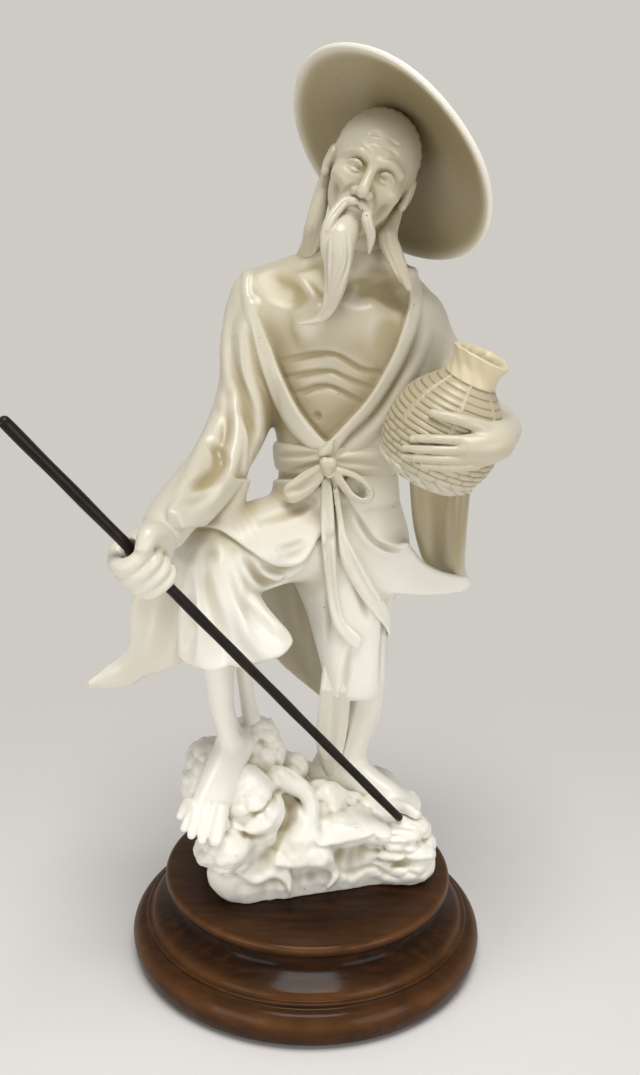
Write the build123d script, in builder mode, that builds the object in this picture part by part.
import os

from build123d import *

# Old fisherman with a creel and a pole, standing on a rock on a turned wooden plinth.
# Millimetres, +Z up, the figure faces -Y, the plinth's axis is the Z axis.
# "Right" and "left" are the figure's own.

# Plinth
BAIZE_THICKNESS = 1.0
BAIZE_RADIUS = 69.0
PLINTH_HEIGHT = 38.0
FOOT_RADIUS = 71.0
TORUS_RADIUS = 75.0
TORUS_MIDDLE = 9.0
TORUS_TOP = 16.5
STEP_RADIUS = 69.0
STEP_HEIGHT = 1.8
SCOTIA_RADIUS = 56.5
DISC_RADIUS = 61.0
DISC_THICKNESS = 5.6

# Screws from the plinth into the rock
SCREW_PITCH = 50.0
SCREW_RADIUS = 2.0
SCREW_HEAD_RADIUS = 4.0
SCREW_HEAD_HEIGHT = 3.0
SCREW_BITE = 11.0
SCREW_HEAD_DEPTH = 14.0

# Fits
FIT = 0.1
SEAT = 0.6

# Rock
ROCK_MIDDLE = (2.2, 2.8)
ROCK_TURN = 17.4
ROCK_LENGTH = 88.0
ROCK_DEPTH = 52.0
ROCK_CORNER = 12.0
SOLE_HEIGHT = 69.0
SHELF_HEIGHT = SOLE_HEIGHT - PLINTH_HEIGHT
BULGE = 3.0
CRAG_TOP = 104.0
CRAG_HEIGHT = CRAG_TOP - PLINTH_HEIGHT

# Rod
ROD_FOOT = (35.0, -18.5, 74.0)
ROD_TIP = (-99.2, -97.0, 252.4)
ROD_FOOT_RADIUS = 1.8
ROD_TIP_RADIUS = 2.2
ROD_SOCKET_DEPTH = 5.0
GRIP_CLEARANCE = 0.7
GRIP_PLACE = 0.692

# Body stations: middle of the section, width across, depth
WAIST = (10.0, 1.0, 213.0)
WAIST_WIDTH = 48.0
WAIST_DEPTH = 38.0
CHEST_WIDTH = 72.0
CHEST_DEPTH = 44.0
NECK_BASE = (15.5, 2.5, 292.0)
NECK_WIDTH = 17.0
HIP_WIDTH = 55.0
HIP_DEPTH = 43.0
HEM = (21.0, 0.0, 123.0)
HEM_WIDTH = 21.0
HEM_DEPTH = 24.0
SASH_THICKNESS = 2.4
SASH_HEIGHT = 14.0
KNOT_RADIUS = 5.2
KNOT_SIDE = -6.0
KNOT_RISE = 6.0
LOOP_LENGTH = 9.5
LOOP_WIDTH = 6.0
LOOP_DEPTH = 5.0
RIBBON = 3.0

# Raised thigh and its drape
HIP = (4.0, -2.0, 186.0)
RAISED_KNEE = (-45.0, -33.0, 183.0)
THIGH_WIDTH = 34.0
DRAPE_HEM = (-30.0, -32.0, 152.0)
DRAPE_WIDTH = 46.0
DRAPE_DEPTH = 30.0

# Legs
CALF_WIDTH = 15.0
ANKLE_WIDTH = 11.0
FOOT_WIDTH = 17.0

# Arms
SLEEVE_WIDTH = 23.0
CUFF_WIDTH = 17.0
RIGHT_SHOULDER = (-25.0, 4.5, 267.0)
RIGHT_ELBOW = (-35.0, -7.0, 227.0)
RIGHT_CUFF = (-50.0, -48.0, 210.0)
LEFT_SHOULDER = (39.0, 7.0, 266.0)
LEFT_ELBOW = (61.0, 5.0, 238.0)
LEFT_CUFF = (70.0, -18.0, 238.0)
FIST_LENGTH = 20.0
FIST_WIDTH = 23.0
FIST_THICKNESS = 20.0

# Cloth below the left elbow: edges sideways and upwards from the elbow, seen from the front
PANEL_INNER = ((-25.5, -4.0), (-24.0, -37.0), (-22.3, -48.4), (-19.5, -58.4), (-17.1, -63.6))
PANEL_OUTER = ((0.9, -68.6), (-1.2, -63.5), (-2.9, -58.1), (-3.0, -50.2), (-2.0, -36.2), (1.0, -4.0))
PANEL_AXIS = (-15.0, -16.0)
PANEL_BOW = 18.0
PANEL_THICKNESS = 6.0
FLARE_UPPER = ((-41.0, -52.0), (-32.2, -53.8), (-25.2, -51.4), (-18.8, -58.0), (-10.6, -62.0), (1.5, -67.0))
FLARE_LOWER = ((0.8, -74.3), (-14.0, -73.7), (-25.8, -71.7), (-41.0, -68.0))
FLARE_AXIS = (-49.0, 48.2)
FLARE_BOW = 66.7
FLARE_THICKNESS = 5.0

# Creel
CREEL_BASE = (38.0, -33.0, 221.0)
CREEL_LEAN = (0.38, -0.08, 0.92)
CREEL_RADIUS = 22.3
CREEL_HEIGHT = 40.0
CREEL_NECK_RADIUS = 10.8
CREEL_NECK_HEIGHT = 9.5
CREEL_MOUTH_RADIUS = 7.4

# Head and hat
HEAD_WIDTH = 32.0
HEAD_DEPTH = 39.0
HAT_MIDDLE = (22.7, -4.0, 331.6)
HAT_AXIS = (0.616, 0.553, 0.561)
HAT_RADIUS = 45.1
HAT_DOME = 17.0
HAT_THICKNESS = 3.0

# Dowels
PEG_RADIUS = 2.0
NECK_PEG = ((16.0, 2.0, 282.0), (15.5, 0.5, 302.0))
HAT_PEG = ((19.0, -7.3, 328.2), (31.2, 3.7, 339.3))
WAIST_PEG = ((10.0, 1.0, 200.0), (10.0, 1.0, 226.0))
HIP_PEG = ((4.0, -2.0, 187.0), (-24.0, -19.0, 186.0))
ARM_PEGS = (((-12.0, 5.0, 262.0), (-30.0, 4.0, 258.0)), ((34.0, 7.0, 264.0), (50.0, 8.0, 257.0)))
WRIST_PEGS = (((-46.0, -39.0, 213.0), (-53.0, -57.0, 206.5)), ((70.3, -10.0, 237.5), (70.2, -26.0, 238.2)))
KNEE_PEGS = (((20.5, -1.0, 112.0), (20.5, -1.0, 134.0)), ((-34.5, -33.0, 141.0), (-34.5, -33.0, 163.0)))
FOOT_PEGS = (((15.0, 8.0, 57.0), (15.0, 8.0, 82.0)), ((-30.0, -19.0, 80.0), (-31.5, -20.0, 104.0)))
CREEL_PEG = ((24.0, -10.0, 240.0), (38.0, -30.0, 240.0))


def shifted(point, dx=0.0, dy=0.0, dz=0.0):
    return (point[0] + dx, point[1] + dy, point[2] + dz)


def between(start, end, share):
    return tuple(a + (b - a) * share for a, b in zip(start, end))


def oval(middle, normal, across, width, depth):
    """Elliptical cross-section, its width along the direction across."""
    with BuildSketch(Plane(origin=middle, x_dir=across, z_dir=normal)) as section:
        Ellipse(width / 2, depth / 2)
    return section.sketch


def stack(stations):
    """Level cross-sections, one above another."""
    return [oval(middle, (0, 0, 1), (1, 0, 0), width, depth) for middle, width, depth in stations]


def limb(stations, across):
    """Cross-sections square to a bent middle line."""
    sections = []
    for place, (middle, width, depth) in enumerate(stations):
        before = Vector(stations[max(place - 1, 0)][0])
        after = Vector(stations[min(place + 1, len(stations) - 1)][0])
        sections.append(oval(middle, after - before, across, width, depth))
    return sections


def along(line):
    start, end = line
    return Plane(origin=start, z_dir=Vector(end) - Vector(start))


def length(line):
    start, end = line
    return (Vector(end) - Vector(start)).length


def dowel(line):
    """Straight peg along a line, for the block it is called in."""
    with Locations(along(line)):
        Cylinder(PEG_RADIUS, length(line), align=(Align.CENTER, Align.CENTER, Align.MIN))


def drill(line, radius=PEG_RADIUS + FIT):
    """Hole for a peg along a line, in the block it is called in."""
    with Locations(along(line)):
        Cylinder(
            radius,
            length(line) + 2 * FIT,
            align=(Align.CENTER, Align.CENTER, Align.MIN),
            mode=Mode.SUBTRACT,
        )


def hung(point, edge):
    """Edge given sideways and upwards from a point, as places seen from the front."""
    return [(point[0] + across, point[2] + rise) for across, rise in edge]


def bowed(down_edge, back_edge, axis, bow, thickness, side):
    """Sheet bowed round an upright axis, behind it (1) or before it (-1), inside two front edges."""
    top = max(height for _, height in down_edge + back_edge)
    with BuildPart() as sheet:
        with BuildSketch():
            with Locations(axis):
                Circle(bow + thickness / 2)
                Circle(bow - thickness / 2, mode=Mode.SUBTRACT)
        extrude(amount=top)
        with BuildSketch(Plane.XZ.offset(-axis[1])):
            with BuildLine():
                Spline(*down_edge)
                Line(down_edge[-1], back_edge[0])
                Spline(*back_edge)
                Line(back_edge[-1], down_edge[0])
            make_face()
        extrude(amount=-side * (bow + thickness), mode=Mode.INTERSECT)
    return sheet


def cut_away(*pieces):
    """Make room for pieces that are already there, in the block it is called in."""
    for piece in pieces:
        add(piece.part, mode=Mode.SUBTRACT)


# Plinth: turned profile
with BuildPart() as plinth:
    with BuildSketch(Plane.XZ):
        with BuildLine():
            Polyline((0, PLINTH_HEIGHT), (0, BAIZE_THICKNESS), (FOOT_RADIUS, BAIZE_THICKNESS))
            ThreePointArc(
                (FOOT_RADIUS, BAIZE_THICKNESS),
                (TORUS_RADIUS, TORUS_MIDDLE),
                (STEP_RADIUS, TORUS_TOP),
            )
            Line((STEP_RADIUS, TORUS_TOP), (STEP_RADIUS, TORUS_TOP + STEP_HEIGHT))
            step_edge = (STEP_RADIUS - STEP_HEIGHT / 2, TORUS_TOP + STEP_HEIGHT)
            Line((STEP_RADIUS, TORUS_TOP + STEP_HEIGHT), step_edge)
            disc_bottom = PLINTH_HEIGHT - DISC_THICKNESS
            ogee_rise = disc_bottom - step_edge[1]
            ogee_turn = ((step_edge[0] + SCOTIA_RADIUS) / 2, step_edge[1] + ogee_rise * 0.42)
            ThreePointArc(step_edge, (step_edge[0] - 2.0, step_edge[1] + ogee_rise * 0.28), ogee_turn)
            ThreePointArc(
                ogee_turn,
                (SCOTIA_RADIUS + 0.6, step_edge[1] + ogee_rise * 0.68),
                (SCOTIA_RADIUS + 0.8, disc_bottom),
            )
            Line((SCOTIA_RADIUS + 0.8, disc_bottom), (DISC_RADIUS - 1.2, disc_bottom))
            ThreePointArc(
                (DISC_RADIUS - 1.2, disc_bottom),
                (DISC_RADIUS, disc_bottom + DISC_THICKNESS * 0.45),
                (DISC_RADIUS - 2.2, PLINTH_HEIGHT),
            )
            Line((DISC_RADIUS - 2.2, PLINTH_HEIGHT), (0, PLINTH_HEIGHT))
        make_face()
    revolve(axis=Axis.Z)
    with Locations(Plane(origin=(*ROCK_MIDDLE, BAIZE_THICKNESS), z_dir=(0, 0, -1))):
        with GridLocations(SCREW_PITCH, 0, 2, 1):
            CounterBoreHole(SCREW_RADIUS + FIT, SCREW_HEAD_RADIUS + 4 * FIT, SCREW_HEAD_DEPTH)

# Baize glued under the plinth
with BuildPart() as baize_pad:
    with BuildSketch():
        Circle(BAIZE_RADIUS)
    extrude(amount=BAIZE_THICKNESS)

# Two wood screws, heads sunk in the plinth
screw_seat = BAIZE_THICKNESS + SCREW_HEAD_DEPTH
screw_end = PLINTH_HEIGHT + SCREW_BITE
with BuildPart() as screw:
    with BuildSketch(Plane.XZ):
        with BuildLine():
            Polyline(
                (0, screw_seat - SCREW_HEAD_HEIGHT),
                (SCREW_HEAD_RADIUS, screw_seat - SCREW_HEAD_HEIGHT),
                (SCREW_HEAD_RADIUS, screw_seat),
                (SCREW_RADIUS, screw_seat),
                (SCREW_RADIUS, screw_end - 2 * SCREW_RADIUS),
                (0, screw_end),
                close=True,
            )
        make_face()
    revolve(axis=Axis.Z)
with BuildPart() as plinth_screws:
    with Locations((*ROCK_MIDDLE, 0)):
        with GridLocations(SCREW_PITCH, 0, 2, 1):
            add(screw.part)

# Robe round the hips and the left thigh
with BuildPart() as skirt:
    loft(
        stack(
            (
                (WAIST, WAIST_WIDTH, WAIST_DEPTH),
                (shifted(WAIST, 1, 1, -17), HIP_WIDTH, HIP_DEPTH),
                (shifted(WAIST, 2, 2, -38), HIP_WIDTH - 2, HIP_DEPTH - 1),
                (shifted(HEM, -7, 4, 32), HIP_WIDTH * 0.69, HIP_DEPTH * 0.86),
                (shifted(HEM, -3, 2, 15), HEM_WIDTH + 8, HEM_DEPTH + 6),
                (HEM, HEM_WIDTH, HEM_DEPTH),
            )
        )
    )
    drill(WAIST_PEG)
    drill(HIP_PEG)
    drill(KNEE_PEGS[0])

# Place of the sash's knot, and the dowel behind it
knot = shifted(WAIST, KNOT_SIDE, -WAIST_DEPTH / 2 - SASH_THICKNESS * 0.7, KNOT_RISE)
bow_line = (shifted(knot, dy=8.0), shifted(knot, dy=-KNOT_RADIUS))
bow_land = Plane(origin=knot, x_dir=(1, 0, 0), z_dir=(0, -1, 0))

# Chest in the open robe
with BuildPart() as torso:
    loft(
        stack(
            (
                (WAIST, WAIST_WIDTH, WAIST_DEPTH),
                (shifted(WAIST, 1, 0.5, 19), CHEST_WIDTH - 16, CHEST_DEPTH - 3),
                (shifted(WAIST, 1, 1.5, 39), CHEST_WIDTH - 6, CHEST_DEPTH),
                (shifted(WAIST, 0, 3, 55), CHEST_WIDTH, CHEST_DEPTH),
                (shifted(NECK_BASE, -6, 2, -13), CHEST_WIDTH, CHEST_DEPTH - 4),
                (shifted(NECK_BASE, -6, 2, -5), CHEST_WIDTH - 9, CHEST_DEPTH - 10),
                (NECK_BASE, NECK_WIDTH + 13, NECK_WIDTH + 8),
            )
        )
    )
    drill(WAIST_PEG)
    drill(NECK_PEG)
    for arm_peg in ARM_PEGS:
        drill(arm_peg)
    drill(CREEL_PEG)
    drill(bow_line)

# Sash round the waist, with a flat land for the bow
with BuildPart() as sash:
    loft(
        stack(
            (
                (shifted(WAIST, dz=-SASH_HEIGHT / 2), WAIST_WIDTH + 6, WAIST_DEPTH + 6),
                (WAIST, WAIST_WIDTH + 2 * SASH_THICKNESS, WAIST_DEPTH + 2 * SASH_THICKNESS),
                (shifted(WAIST, dz=SASH_HEIGHT / 2), WAIST_WIDTH + 7, WAIST_DEPTH + 5),
            )
        )
    )
    cut_away(skirt, torso)
    split(bisect_by=bow_land, keep=Keep.BOTTOM)
    drill(WAIST_PEG)
    drill(bow_line)

# Knot and loops of the sash
loops = []
for side, drop, lean in ((-1, -7.5, 55), (1, -7.0, -38)):
    loop_middle = shifted(knot, side * LOOP_LENGTH, -1.0, drop)
    loops.append((Plane(origin=loop_middle, x_dir=(1, 0, 0), z_dir=(0, -1, 0)), lean))
with BuildPart() as sash_bow:
    with BuildSketch(bow_land):
        Circle(KNOT_RADIUS)
    extrude(amount=KNOT_RADIUS * 1.4)
    fillet(sash_bow.edges().group_by(Axis.Y)[0], KNOT_RADIUS * 0.5)
    for loop_plane, lean in loops:
        with BuildSketch(loop_plane):
            Ellipse(LOOP_LENGTH, LOOP_WIDTH, rotation=lean)
        extrude(amount=LOOP_DEPTH)
    for loop_plane, lean in loops:
        with BuildSketch(loop_plane):
            Ellipse(LOOP_LENGTH - RIBBON, LOOP_WIDTH - RIBBON, rotation=lean)
        extrude(amount=LOOP_DEPTH, mode=Mode.SUBTRACT)
    drill(bow_line)

# Robe over the raised thigh, hanging from the knee
with BuildPart() as thigh_drape:
    loft(
        limb(
            (
                (HIP, THIGH_WIDTH + 4, THIGH_WIDTH + 2),
                (between(HIP, RAISED_KNEE, 0.36), THIGH_WIDTH + 1, THIGH_WIDTH),
                (between(HIP, RAISED_KNEE, 0.74), THIGH_WIDTH - 5, THIGH_WIDTH - 3),
                (between(HIP, RAISED_KNEE, 0.98), THIGH_WIDTH - 11, THIGH_WIDTH - 8),
                (between(HIP, RAISED_KNEE, 1.1), 10, 11),
            ),
            (0, 0, 1),
        )
    )
    loft(
        stack(
            (
                (shifted(RAISED_KNEE, 4, 1, 3), DRAPE_WIDTH - 22, DRAPE_DEPTH - 4),
                (between(RAISED_KNEE, DRAPE_HEM, 0.3), DRAPE_WIDTH - 13, DRAPE_DEPTH + 2),
                (between(RAISED_KNEE, DRAPE_HEM, 0.68), DRAPE_WIDTH - 6, DRAPE_DEPTH + 2),
                (DRAPE_HEM, DRAPE_WIDTH, DRAPE_DEPTH),
            )
        )
    )
    cut_away(skirt, sash)
    drill(HIP_PEG)
    drill(KNEE_PEGS[1])

# Tail of the robe between the legs
with BuildPart() as back_panel:
    loft(
        limb(
            (
                (shifted(HIP, 0, 19, 2), 44, 10),
                (shifted(HIP, -5, 18, -24), 44, 9),
                (shifted(HIP, -4, 16, -50), 34, 8),
                (shifted(HIP, 2, 15, -73), 20, 6),
            ),
            (1, 0, 0),
        )
    )
    cut_away(skirt, thigh_drape)
    drill(HIP_PEG)

# Bare left leg, sole flat on the shelf
standing_heel = (5.0, 13.0, SOLE_HEIGHT + 6.0)
standing_toes = (46.0, -5.5, SOLE_HEIGHT + 2.5)
with BuildPart() as standing_leg:
    loft(
        limb(
            (
                (HEM, CALF_WIDTH + 1, CALF_WIDTH + 2),
                (shifted(HEM, -1.5, 3, -15), CALF_WIDTH, CALF_WIDTH + 2),
                (shifted(HEM, -4.0, 6, -30), ANKLE_WIDTH, ANKLE_WIDTH + 1),
                (shifted(HEM, -5.5, 8, -39), ANKLE_WIDTH + 1, ANKLE_WIDTH + 3),
                (shifted(HEM, -6.0, 8, -48), ANKLE_WIDTH + 2, ANKLE_WIDTH + 4),
            ),
            (1, 0, 0),
        )
    )
    loft(
        limb(
            (
                (shifted(standing_heel, -2.0, 1.0), 6, 7),
                (standing_heel, 11, 12),
                (between(standing_heel, standing_toes, 0.32), 18, 14),
                (shifted(between(standing_heel, standing_toes, 0.66), dz=1.0), 11, FOOT_WIDTH),
                (standing_toes, 7, FOOT_WIDTH - 2),
                (shifted(standing_toes, 3.0, -1.5, -0.3), 4, 9),
            ),
            (0, 0, 1),
        )
    )
    split(bisect_by=Plane(origin=(0, 0, SOLE_HEIGHT)), keep=Keep.TOP)
    split(bisect_by=Plane(origin=(0, 0, HEM[2])), keep=Keep.BOTTOM)
    drill(KNEE_PEGS[0])
    drill(FOOT_PEGS[0])

# Narrow cloth end behind the left shin
with BuildPart() as leg_strip:
    loft(
        limb(
            (
                (shifted(HEM, -10, 8, 12), 14, 12),
                (shifted(HEM, -12, 10, -6), 13, 8),
                (shifted(HEM, -14, 11, -24), 10, 6),
                (shifted(HEM, -15, 11, -38), 6, 4),
            ),
            (1, 0, 0),
        )
    )
    cut_away(skirt, standing_leg, back_panel)

# Bare right leg on the crag
raised_heel = (-25.0, -9.0, 100.0)
raised_toes = (-37.5, -48.0, 77.5)
with BuildPart() as raised_leg:
    loft(
        limb(
            (
                (shifted(DRAPE_HEM, -4.5, -1.0, 3), CALF_WIDTH + 2, CALF_WIDTH + 3),
                (shifted(DRAPE_HEM, -4.5, -1.0, -12), CALF_WIDTH + 2, CALF_WIDTH + 3),
                (shifted(DRAPE_HEM, -4.0, 5, -28), CALF_WIDTH - 1, CALF_WIDTH),
                (shifted(DRAPE_HEM, -3.0, 10, -42), ANKLE_WIDTH + 1, ANKLE_WIDTH + 2),
                (shifted(DRAPE_HEM, -1.5, 12, -51), ANKLE_WIDTH + 2, ANKLE_WIDTH + 4),
            ),
            (1, 0, 0),
        )
    )
    loft(
        limb(
            (
                (shifted(raised_heel, 1.5, 3.0, 1.0), 6, 7),
                (raised_heel, 12, 11),
                (shifted(between(raised_heel, raised_toes, 0.3), dz=3.0), 17, 14),
                (shifted(between(raised_heel, raised_toes, 0.64), dz=1.5), 13, FOOT_WIDTH),
                (raised_toes, 8, FOOT_WIDTH + 2),
                (shifted(raised_toes, -1.0, -3.5, -1.5), 4, 11),
            ),
            (0, 0, 1),
        )
    )
    split(bisect_by=Plane(origin=DRAPE_HEM), keep=Keep.BOTTOM)
    drill(KNEE_PEGS[1])
    drill(FOOT_PEGS[1])

# Ends of the sash, over the robe
with BuildPart() as sash_tail_long:
    loft(
        limb(
            (
                (shifted(knot, 0.5, -1.5, -4), 7, 4),
                (shifted(knot, -0.5, -2.5, -26), 7, 4.5),
                (shifted(knot, -0.5, -1.5, -50), 8, 5),
                (shifted(knot, 4, 0.0, -64), 9, 5),
                (shifted(knot, 9, 1.0, -69), 7, 4),
            ),
            (1, 0, 0),
        )
    )
    cut_away(sash_bow, sash, skirt, torso, thigh_drape)
with BuildPart() as sash_tail_side:
    loft(
        limb(
            (
                (shifted(knot, 3, -1.0, -5), 6, 4),
                (shifted(knot, 7, -2.0, -26), 7, 5),
                (shifted(knot, 15, 1.0, -48), 8, 6),
                (shifted(knot, 23, 8.0, -66), 7, 6),
            ),
            (1, 0, 0),
        )
    )
    cut_away(sash_bow, sash, skirt, torso, thigh_drape, sash_tail_long)

# Right arm
fist = between(ROD_FOOT, ROD_TIP, GRIP_PLACE)
rod_line = (ROD_FOOT, ROD_TIP)
with BuildPart() as right_sleeve:
    loft(
        limb(
            (
                (shifted(RIGHT_SHOULDER, 12, 0, 10), SLEEVE_WIDTH - 3, SLEEVE_WIDTH + 3),
                (RIGHT_SHOULDER, SLEEVE_WIDTH + 4, SLEEVE_WIDTH + 11),
                (between(RIGHT_SHOULDER, RIGHT_ELBOW, 0.6), SLEEVE_WIDTH, SLEEVE_WIDTH + 7),
                (RIGHT_ELBOW, SLEEVE_WIDTH, SLEEVE_WIDTH + 3),
                (between(RIGHT_ELBOW, RIGHT_CUFF, 0.5), SLEEVE_WIDTH - 3, SLEEVE_WIDTH - 1),
                (RIGHT_CUFF, CUFF_WIDTH, CUFF_WIDTH + 1),
            ),
            (1, 0, 0),
        )
    )
    cut_away(torso, thigh_drape)
    drill(ARM_PEGS[0])
    drill(WRIST_PEGS[0])

with BuildPart() as right_hand:
    with BuildSketch(along((fist, ROD_TIP)).offset(-FIST_LENGTH / 2)):
        RectangleRounded(FIST_WIDTH, FIST_THICKNESS, FIST_THICKNESS * 0.4)
    extrude(amount=FIST_LENGTH)
    fillet(right_hand.edges().filter_by(GeomType.LINE, reverse=True), FIST_THICKNESS * 0.25)
    loft(
        limb(
            (
                (RIGHT_CUFF, CUFF_WIDTH - 4, CUFF_WIDTH - 3),
                (between(RIGHT_CUFF, fist, 0.35), CUFF_WIDTH - 4, CUFF_WIDTH - 3),
                (between(RIGHT_CUFF, fist, 0.75), CUFF_WIDTH - 3, CUFF_WIDTH - 2),
            ),
            (1, 0, 0),
        )
    )
    cut_away(right_sleeve, thigh_drape)
    drill(WRIST_PEGS[0])
    with Locations(along((fist, ROD_TIP))):
        Cylinder(ROD_TIP_RADIUS + GRIP_CLEARANCE, 4 * FIST_LENGTH, mode=Mode.SUBTRACT)

with BuildPart() as right_sleeve_drop:
    loft(
        limb(
            (
                (shifted(RIGHT_CUFF, 4, 14, -2), 20, 9),
                (shifted(RIGHT_CUFF, -4, 15, -30), 28, 9),
                (shifted(RIGHT_CUFF, -12, 16, -54), 40, 9),
                (shifted(RIGHT_CUFF, -17, 16, -72), 44, 7),
            ),
            (1, 0, 0),
        )
    )
    cut_away(right_sleeve, thigh_drape, right_hand, raised_leg)
    drill(WRIST_PEGS[0])

# Left arm behind the creel
with BuildPart() as left_sleeve:
    loft(
        limb(
            (
                (shifted(LEFT_SHOULDER, -12, 0, 10), SLEEVE_WIDTH - 3, SLEEVE_WIDTH + 3),
                (LEFT_SHOULDER, SLEEVE_WIDTH + 4, SLEEVE_WIDTH + 10),
                (shifted(between(LEFT_SHOULDER, LEFT_ELBOW, 0.6), dy=3), SLEEVE_WIDTH, SLEEVE_WIDTH + 5),
                (LEFT_ELBOW, SLEEVE_WIDTH - 3, SLEEVE_WIDTH - 1),
                (shifted(LEFT_CUFF, -1, 11, -0.5), CUFF_WIDTH, CUFF_WIDTH),
                (LEFT_CUFF, CUFF_WIDTH - 2, CUFF_WIDTH - 2),
            ),
            (1, 0.5, 0.5),
        )
    )
    cut_away(torso)
    drill(ARM_PEGS[1])
    drill(WRIST_PEGS[1])

# Creel, its neck ring let into the top
creel_axis = (CREEL_BASE, tuple(Vector(CREEL_BASE) + CREEL_HEIGHT * Vector(CREEL_LEAN).normalized()))
creel_plane = along(creel_axis)
with BuildPart() as creel:
    with BuildSketch(Plane(origin=CREEL_BASE, x_dir=creel_plane.x_dir, z_dir=creel_plane.y_dir)):
        with BuildLine():
            Line((0, 0), (CREEL_RADIUS * 0.66, 0))
            Spline(
                (CREEL_RADIUS * 0.66, 0),
                (CREEL_RADIUS * 0.9, -CREEL_HEIGHT * 0.16),
                (CREEL_RADIUS, -CREEL_HEIGHT * 0.42),
                (CREEL_RADIUS * 0.84, -CREEL_HEIGHT * 0.74),
                (CREEL_NECK_RADIUS * 0.9, -CREEL_HEIGHT),
            )
            Polyline((CREEL_NECK_RADIUS * 0.9, -CREEL_HEIGHT), (0, -CREEL_HEIGHT), (0, 0))
        make_face()
    revolve(axis=Axis(CREEL_BASE, creel_plane.z_dir))
    cut_away(torso, left_sleeve)
    drill((creel_axis[1], between(creel_axis[1], CREEL_BASE, 0.12)), CREEL_MOUTH_RADIUS + 1.5 + FIT)
    drill((creel_axis[1], between(creel_axis[1], CREEL_BASE, 0.35)), CREEL_MOUTH_RADIUS)
    drill(CREEL_PEG)

neck_foot = between(creel_axis[1], CREEL_BASE, 0.12)
neck_top = between(CREEL_BASE, creel_axis[1], 1 + CREEL_NECK_HEIGHT / CREEL_HEIGHT)
with BuildPart() as creel_neck:
    with BuildSketch(Plane(origin=creel_axis[1], x_dir=creel_plane.x_dir, z_dir=creel_plane.y_dir)):
        with BuildLine():
            rim_inner = CREEL_MOUTH_RADIUS + 1.0
            Polyline(
                (CREEL_MOUTH_RADIUS, CREEL_HEIGHT * 0.12),
                (CREEL_MOUTH_RADIUS + 1.5, CREEL_HEIGHT * 0.12),
                (CREEL_MOUTH_RADIUS + 1.5, 0),
                (CREEL_NECK_RADIUS * 0.9, 0),
            )
            Spline(
                (CREEL_NECK_RADIUS * 0.9, 0),
                (CREEL_NECK_RADIUS * 0.86, -CREEL_NECK_HEIGHT * 0.45),
                (CREEL_NECK_RADIUS, -CREEL_NECK_HEIGHT * 0.92),
            )
            Polyline(
                (CREEL_NECK_RADIUS, -CREEL_NECK_HEIGHT * 0.92),
                (CREEL_NECK_RADIUS - 0.6, -CREEL_NECK_HEIGHT),
                (rim_inner, -CREEL_NECK_HEIGHT),
                (CREEL_MOUTH_RADIUS, -CREEL_NECK_HEIGHT * 0.6),
                (CREEL_MOUTH_RADIUS, CREEL_HEIGHT * 0.12),
            )
        make_face()
    revolve(axis=Axis(CREEL_BASE, creel_plane.z_dir))
    cut_away(left_sleeve, torso)

# Left hand across the creel
with BuildPart() as left_hand:
    loft(
        limb(
            (
                (LEFT_CUFF, 12, 12),
                (shifted(LEFT_CUFF, 1.0, -14, 0), 15, 9),
                (shifted(LEFT_CUFF, -2.5, -27, 0.5), 18, 9),
                (shifted(LEFT_CUFF, -10, -37.5, 1), 18, 9),
                (shifted(LEFT_CUFF, -22, -43, 2), 18, 8),
                (shifted(LEFT_CUFF, -33, -42, 3), 15, 7),
            ),
            (0, 0, 1),
        )
    )
    cut_away(creel, left_sleeve, creel_neck)
    drill(WRIST_PEGS[1])

# Bowed panel of cloth below the left elbow, with the flare of the robe that meets its hem
panel_axis = shifted(LEFT_ELBOW, *PANEL_AXIS)[:2]
sleeve_panel = bowed(
    hung(LEFT_ELBOW, PANEL_INNER),
    hung(LEFT_ELBOW, PANEL_OUTER),
    panel_axis,
    PANEL_BOW,
    PANEL_THICKNESS,
    1,
)
flare_axis = shifted(LEFT_ELBOW, *FLARE_AXIS)[:2]
robe_flare = bowed(
    hung(LEFT_ELBOW, FLARE_UPPER),
    hung(LEFT_ELBOW, FLARE_LOWER),
    flare_axis,
    FLARE_BOW,
    FLARE_THICKNESS,
    -1,
)
with BuildPart() as left_sleeve_drop:
    add(sleeve_panel.part)
    add(robe_flare.part)
    cut_away(left_sleeve, skirt, torso, sash, creel)

# Head and neck
head_sections = (
    (NECK_BASE, NECK_WIDTH, NECK_WIDTH + 1),
    (shifted(NECK_BASE, -1, -3, 9), NECK_WIDTH - 1, NECK_WIDTH),
    (shifted(NECK_BASE, -4, -9, 17), HEAD_WIDTH * 0.62, HEAD_DEPTH * 0.66),
    (shifted(NECK_BASE, -2, -10, 26), HEAD_WIDTH * 0.9, HEAD_DEPTH * 0.9),
    (shifted(NECK_BASE, 2, -8.5, 37), HEAD_WIDTH, HEAD_DEPTH),
    (shifted(NECK_BASE, 6.5, -6, 48), HEAD_WIDTH * 0.86, HEAD_DEPTH * 0.86),
    (shifted(NECK_BASE, 9.5, -4.5, 55), HEAD_WIDTH * 0.45, HEAD_DEPTH * 0.45),
)
with BuildPart() as head:
    loft(limb(head_sections, (1, 0, -0.35)))
    split(bisect_by=Plane(origin=NECK_BASE), keep=Keep.TOP)
    cut_away(torso)
    drill(NECK_PEG)
    drill(HAT_PEG)

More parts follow.
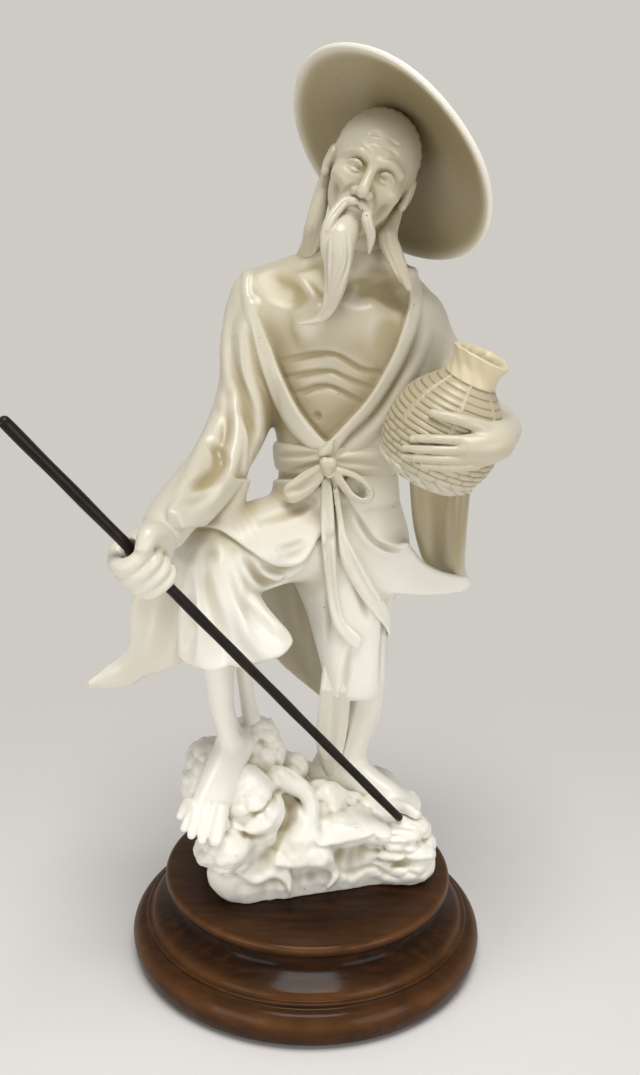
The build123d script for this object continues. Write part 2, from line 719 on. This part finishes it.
# Sun hat on the back of the head
hat_plane = Plane(origin=HAT_MIDDLE, z_dir=HAT_AXIS)
with BuildPart() as hat:
    with BuildSketch(Plane(origin=HAT_MIDDLE, x_dir=hat_plane.x_dir, z_dir=-hat_plane.y_dir)):
        with BuildLine():
            Spline(
                (0, HAT_DOME),
                (HAT_RADIUS * 0.45, HAT_DOME * 0.72),
                (HAT_RADIUS - HAT_THICKNESS * 0.3, HAT_THICKNESS * 0.4),
                tangents=((1, -0.12), (1, -0.55)),
            )
            ThreePointArc(
                (HAT_RADIUS - HAT_THICKNESS * 0.3, HAT_THICKNESS * 0.4),
                (HAT_RADIUS, -HAT_THICKNESS * 0.35),
                (HAT_RADIUS - HAT_THICKNESS * 0.6, -HAT_THICKNESS * 0.5),
            )
            Spline(
                (HAT_RADIUS - HAT_THICKNESS * 0.6, -HAT_THICKNESS * 0.5),
                (HAT_RADIUS * 0.45, HAT_DOME * 0.72 - HAT_THICKNESS),
                (0, HAT_DOME - HAT_THICKNESS * 1.3),
                tangents=((-1, 0.5), (-1, 0.12)),
            )
            Line((0, HAT_DOME - HAT_THICKNESS * 1.3), (0, HAT_DOME))
        make_face()
    revolve(axis=Axis(HAT_MIDDLE, HAT_AXIS))
    cut_away(head, torso, left_sleeve)
    drill(HAT_PEG)

# Beard from the chin down to the chest
chin = shifted(NECK_BASE, -7.5, -20.0, 14.5)
with BuildPart() as beard:
    loft(
        limb(
            (
                (chin, HEAD_WIDTH * 0.48, HEAD_DEPTH * 0.3),
                (shifted(chin, -3.5, -4.5, -9), HEAD_WIDTH * 0.4, HEAD_DEPTH * 0.26),
                (shifted(chin, -6.0, -5.0, -18), HEAD_WIDTH * 0.28, HEAD_DEPTH * 0.2),
                (shifted(chin, -8.0, -5.0, -25), HEAD_WIDTH * 0.16, HEAD_DEPTH * 0.14),
                (shifted(chin, -9.5, -5.0, -30), HEAD_WIDTH * 0.07, HEAD_DEPTH * 0.06),
            ),
            (1, 0, 0),
        )
    )
    cut_away(head, torso)

# Side locks down to the shoulders
with BuildPart() as hair_locks:
    for side, spread in ((-1, 0.0), (1, 4.0)):
        root = shifted(NECK_BASE, side * HEAD_WIDTH * 0.44 + spread, -4.0, 34 - spread)
        loft(
            limb(
                (
                    (root, 7, 9),
                    (shifted(NECK_BASE, side * HEAD_WIDTH * 0.46 + spread, -6.0, 17), 6, 8),
                    (shifted(NECK_BASE, side * HEAD_WIDTH * 0.44 + spread, -9.0, 4), 5, 6),
                    (shifted(NECK_BASE, side * HEAD_WIDTH * 0.42 + spread, -11.0, -6), 3, 3),
                ),
                (1, 0, 0),
            )
        )
    cut_away(head, torso, hat, beard)

# Rock: shelf, crag and boulders
rock_planes = (
    (PLINTH_HEIGHT, 0.0),
    (PLINTH_HEIGHT + SHELF_HEIGHT * 0.3, BULGE),
    (PLINTH_HEIGHT + SHELF_HEIGHT * 0.66, 0.0),
    (PLINTH_HEIGHT + SHELF_HEIGHT, -2 * BULGE),
)
rock_sections = []
for rock_level, rock_grow in rock_planes:
    rock_plane = Plane(origin=(*ROCK_MIDDLE, rock_level)).rotated((0, 0, ROCK_TURN))
    with BuildSketch(rock_plane) as rock_outline:
        RectangleRounded(ROCK_LENGTH + 2 * rock_grow, ROCK_DEPTH + 2 * rock_grow, ROCK_CORNER)
    rock_sections.append(rock_outline.sketch)
boulders = (
    ((-33, -38.5, 67), 9.0),
    ((-38, -34, 62), 9.0),
    ((-42, -24, 66), 10.0),
    ((-24, -25, 84), 9.0),
    ((-21, -27, 74), 10.0),
    ((-31, -26, 50), 10.5),
    ((-43, -11, 86), 9.5),
    ((-2.5, -21, 57), 9.0),
    ((8, -18.5, 63.5), 7.5),
    ((20, -15.5, 64), 7.5),
    ((4, -10, 70.5), 9.0),
    ((40, -9.5, 54), 10.5),
    ((-7, 4, 80), 7.0),
    ((-12, -14, 80), 7.5),
)
with BuildPart() as rock_base:
    loft(rock_sections)
    loft(
        stack(
            (
                ((-24, -3, PLINTH_HEIGHT + CRAG_HEIGHT * 0.2), 48, 46),
                ((-29, -9, PLINTH_HEIGHT + CRAG_HEIGHT * 0.6), 42, 42),
                ((-27, -3, PLINTH_HEIGHT + CRAG_HEIGHT * 0.86), 30, 32),
                ((-24, 3, PLINTH_HEIGHT + CRAG_HEIGHT), 14, 14),
            )
        )
    )
    loft(
        stack(
            (
                ((-23, 3, SOLE_HEIGHT - 10), 54, 50),
                ((-23, 3, SOLE_HEIGHT + 6), 48, 46),
                ((-22, 3, SOLE_HEIGHT + 15), 36, 36),
            )
        )
    )
    for boulder, boulder_radius in boulders:
        with Locations(boulder):
            Sphere(boulder_radius)
    cut_away(standing_leg, raised_leg, leg_strip)
    for foot_peg in FOOT_PEGS:
        drill(foot_peg)
    with Locations((*ROCK_MIDDLE, PLINTH_HEIGHT)):
        with GridLocations(SCREW_PITCH, 0, 2, 1):
            Cylinder(
                SCREW_RADIUS + FIT,
                SCREW_BITE + FIT,
                align=(Align.CENTER, Align.CENTER, Align.MIN),
                mode=Mode.SUBTRACT,
            )
    rod_end = between(ROD_FOOT, ROD_TIP, -ROD_SOCKET_DEPTH / length(rod_line))
    with Locations(along((rod_end, ROD_TIP))):
        Cylinder(
            ROD_FOOT_RADIUS + SEAT,
            6 * ROD_SOCKET_DEPTH,
            align=(Align.CENTER, Align.CENTER, Align.MIN),
            mode=Mode.SUBTRACT,
        )

# Tapered pole, rounded at the tip
rod_start = between(ROD_FOOT, ROD_TIP, (SEAT - ROD_SOCKET_DEPTH) / length(rod_line))
rod_length = length((rod_start, ROD_TIP))
rod_plane = along((rod_start, ROD_TIP))
with BuildPart() as rod:
    with Locations(rod_plane):
        Cone(ROD_FOOT_RADIUS, ROD_TIP_RADIUS, rod_length, align=(Align.CENTER, Align.CENTER, Align.MIN))
    fillet(rod.edges().filter_by(GeomType.CIRCLE).sort_by(Axis.Z)[-1], ROD_TIP_RADIUS * 0.8)

# Dowels
with BuildPart() as neck_peg:
    dowel(NECK_PEG)
with BuildPart() as hat_peg:
    dowel(HAT_PEG)
with BuildPart() as waist_peg:
    dowel(WAIST_PEG)
with BuildPart() as hip_peg:
    dowel(HIP_PEG)
with BuildPart() as arm_pegs:
    for arm_peg in ARM_PEGS:
        dowel(arm_peg)
with BuildPart() as wrist_pegs:
    for wrist_peg in WRIST_PEGS:
        dowel(wrist_peg)
with BuildPart() as knee_pegs:
    for knee_peg in KNEE_PEGS:
        dowel(knee_peg)
with BuildPart() as foot_pegs:
    for foot_peg in FOOT_PEGS:
        dowel(foot_peg)
with BuildPart() as creel_peg:
    dowel(CREEL_PEG)
with BuildPart() as bow_peg:
    dowel(bow_line)

os.makedirs("parts", exist_ok=True)
pieces = {
    "plinth": plinth,
    "baize_pad": baize_pad,
    "plinth_screws": plinth_screws,
    "rock_base": rock_base,
    "standing_leg": standing_leg,
    "raised_leg": raised_leg,
    "skirt": skirt,
    "thigh_drape": thigh_drape,
    "back_panel": back_panel,
    "leg_strip": leg_strip,
    "torso": torso,
    "sash": sash,
    "sash_bow": sash_bow,
    "sash_tail_long": sash_tail_long,
    "sash_tail_side": sash_tail_side,
    "right_sleeve": right_sleeve,
    "right_sleeve_drop": right_sleeve_drop,
    "right_hand": right_hand,
    "left_sleeve": left_sleeve,
    "left_sleeve_drop": left_sleeve_drop,
    "left_hand": left_hand,
    "creel": creel,
    "creel_neck": creel_neck,
    "head": head,
    "beard": beard,
    "hair_locks": hair_locks,
    "hat": hat,
    "rod": rod,
    "neck_peg": neck_peg,
    "hat_peg": hat_peg,
    "waist_peg": waist_peg,
    "hip_peg": hip_peg,
    "arm_pegs": arm_pegs,
    "wrist_pegs": wrist_pegs,
    "knee_pegs": knee_pegs,
    "foot_pegs": foot_pegs,
    "creel_peg": creel_peg,
    "bow_peg": bow_peg,
}
for name, piece in pieces.items():
    piece.part.label = name
    export_step(piece.part, f"parts/{name}.step")
